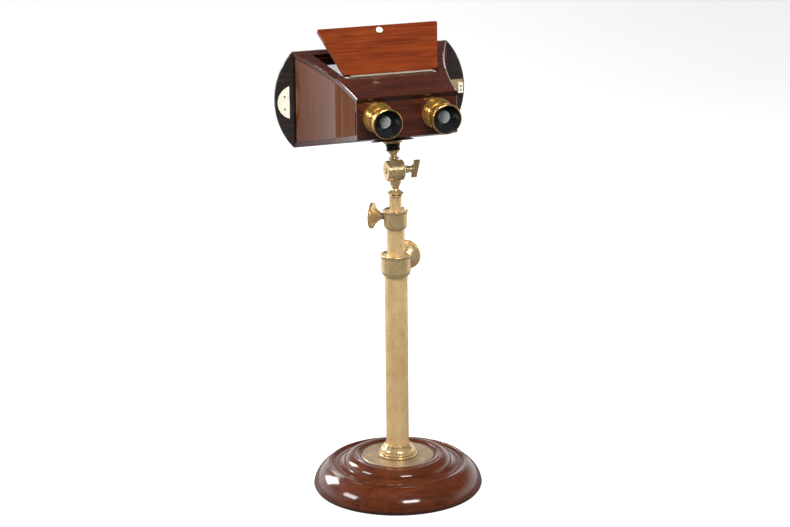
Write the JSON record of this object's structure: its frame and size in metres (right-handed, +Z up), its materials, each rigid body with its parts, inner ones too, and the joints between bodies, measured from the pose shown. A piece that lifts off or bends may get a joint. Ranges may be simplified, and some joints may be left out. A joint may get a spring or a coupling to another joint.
{
  "type": "table stereoscope",
  "caption": "Tapered wooden box stereo viewer with hinged mirror lid and sliding eyepieces, tilting on a telescopic brass pillar and round turned base.",
  "frame": {"origin": "centre of the base's underside, on the pillar's axis", "axes": "+Z up the pillar, -Y the way the eyepieces face, X along the line through the two lenses, the tilt joint and the lid hinge"},
  "size_m": [0.2286, 0.196, 0.5352],
  "materials": {
    "baize": "green felt",
    "mahogany": "polished mahogany",
    "mahogany_lid": "polished figured mahogany",
    "ebonised": "ebonised, polished",
    "old_brass": "aged, unlacquered",
    "lacquered_brass": "lacquered, bright",
    "dark_metal": "blackened",
    "black_cup": "black, glossy (stands in for ebonite)",
    "lens_glass": "polished",
    "ground_glass": "ground, frosted",
    "mirror": "silvered",
    "ivory": "cream, softly polished (stands in for ivory or bone)"
  },
  "bodies": {
    "stand": {"base_baize": "baize", "base_disc": "mahogany", "floor_plate": "old_brass", "floor_screws": "old_brass", "pillar_foot": "old_brass", "outer_tube": "old_brass", "lower_collar": "old_brass"},
    "lower_clamp": {"lower_shoe": "old_brass"},
    "lower_screw": {"lower_thumbscrew": "old_brass"},
    "middle_slider": {"middle_guide": "old_brass"},
    "middle_pillar": {"middle_tube": "old_brass", "upper_collar": "old_brass"},
    "upper_clamp": {"upper_shoe": "old_brass"},
    "upper_screw": {"upper_thumbscrew": "old_brass"},
    "inner_slider": {"inner_guide": "old_brass"},
    "inner_pillar": {"inner_tube": "old_brass", "stem": "old_brass", "knuckle_lower": "old_brass", "knuckle_cap": "old_brass", "knuckle_bolt": "old_brass"},
    "key_clamp": {"key_washer": "old_brass"},
    "wing": {"wing_key": "old_brass"},
    "viewer": {"knuckle_upper": "old_brass", "mounting_collar": "dark_metal", "mounting_flange": "old_brass", "mounting_plate": "dark_metal", "mounting_screws": "old_brass", "top_panel": "mahogany", "bottom_panel": "mahogany", "left_side": "mahogany", "right_side": "mahogany", "lens_board": "mahogany", "divider": "ebonised", "card_rails": "ebonised", "back_board": "ebonised", "ground_glass": "ground_glass", "glass_beads": "ebonised", "ivory_plaque": "ivory", "tablet_strip": "old_brass", "ivory_tablet": "ivory", "tablet_pins": "old_brass", "box_hinge_leaf": "old_brass", "hinge_pin": "old_brass", "flange_screws": "lacquered_brass", "left_jacket": "lacquered_brass", "right_jacket": "lacquered_brass"},
    "flap": {"lid_hinge_leaf": "old_brass", "lid_board": "mahogany_lid", "lid_mirror": "mirror", "mirror_clips": "old_brass", "lid_knob": "ivory"},
    "left_eyepiece": {"left_draw_tube": "lacquered_brass", "left_eye_ring": "lacquered_brass", "left_eye_cup": "black_cup", "left_lens": "lens_glass"},
    "right_eyepiece": {"right_draw_tube": "lacquered_brass", "right_eye_ring": "lacquered_brass", "right_eye_cup": "black_cup", "right_lens": "lens_glass"}
  },
  "joints": [
    {"name": "lower_clamp_slide", "type": "slide", "parent": "stand", "child": "lower_clamp", "axis": [0.6561, 0.7547, 0], "range_m": [0, 0.001]},
    {"name": "lower_screw_turn", "type": "hinge", "parent": "lower_clamp", "child": "lower_screw", "pos_m": [0, 0, 0.2736], "axis": [0.6561, 0.7547, 0], "range_deg": [0, 360]},
    {"name": "middle_tube_slide", "type": "slide", "parent": "stand", "child": "middle_slider", "axis": [0, 0, 1], "range_m": [-0.018, 0.145]},
    {"name": "middle_tube_turn", "type": "hinge", "parent": "middle_slider", "child": "middle_pillar", "pos_m": [0, 0, 0.109], "axis": [0, 0, 1], "continuous": true},
    {"name": "upper_clamp_slide", "type": "slide", "parent": "middle_pillar", "child": "upper_clamp", "axis": [-0.8387, 0.5446, 0], "range_m": [0, 0.001]},
    {"name": "upper_screw_turn", "type": "hinge", "parent": "upper_clamp", "child": "upper_screw", "pos_m": [0, 0, 0.326], "axis": [-0.8387, 0.5446, 0], "range_deg": [0, 360]},
    {"name": "inner_tube_slide", "type": "slide", "parent": "middle_pillar", "child": "inner_slider", "axis": [0, 0, 1], "range_m": [-0.015, 0.15]},
    {"name": "inner_tube_turn", "type": "hinge", "parent": "inner_slider", "child": "inner_pillar", "pos_m": [0, 0, 0.154], "axis": [0, 0, 1], "continuous": true},
    {"name": "key_clamp_slide", "type": "slide", "parent": "inner_pillar", "child": "key_clamp", "axis": [1, 0, 0], "range_m": [0, 0.0005]},
    {"name": "wing_key_turn", "type": "hinge", "parent": "key_clamp", "child": "wing", "pos_m": [0, 0, 0.3805], "axis": [1, 0, 0], "range_deg": [0, 180]},
    {"name": "viewer_tilt", "type": "hinge", "parent": "inner_pillar", "child": "viewer", "pos_m": [0, 0, 0.3805], "axis": [1, 0, 0], "range_deg": [-59.5, 90]},
    {"name": "lid_hinge", "type": "hinge", "parent": "viewer", "child": "flap", "pos_m": [0, 0.00783, 0.48999], "axis": [1, 0, 0], "range_deg": [-29.7, 100]},
    {"name": "left_focus", "type": "slide", "parent": "viewer", "child": "left_eyepiece", "axis": [0, -1, 0], "range_m": [-0.012, 0.008]},
    {"name": "right_focus", "type": "slide", "parent": "viewer", "child": "right_eyepiece", "axis": [0, -1, 0], "range_m": [-0.012, 0.008]}
  ],
  "couplings": [
    {"joint": "lower_screw_turn", "follows": "lower_clamp_slide", "rad_per_m": 6283.2},
    {"joint": "upper_screw_turn", "follows": "upper_clamp_slide", "rad_per_m": 6283.2},
    {"joint": "wing_key_turn", "follows": "key_clamp_slide", "rad_per_m": 6283.2}
  ]
}
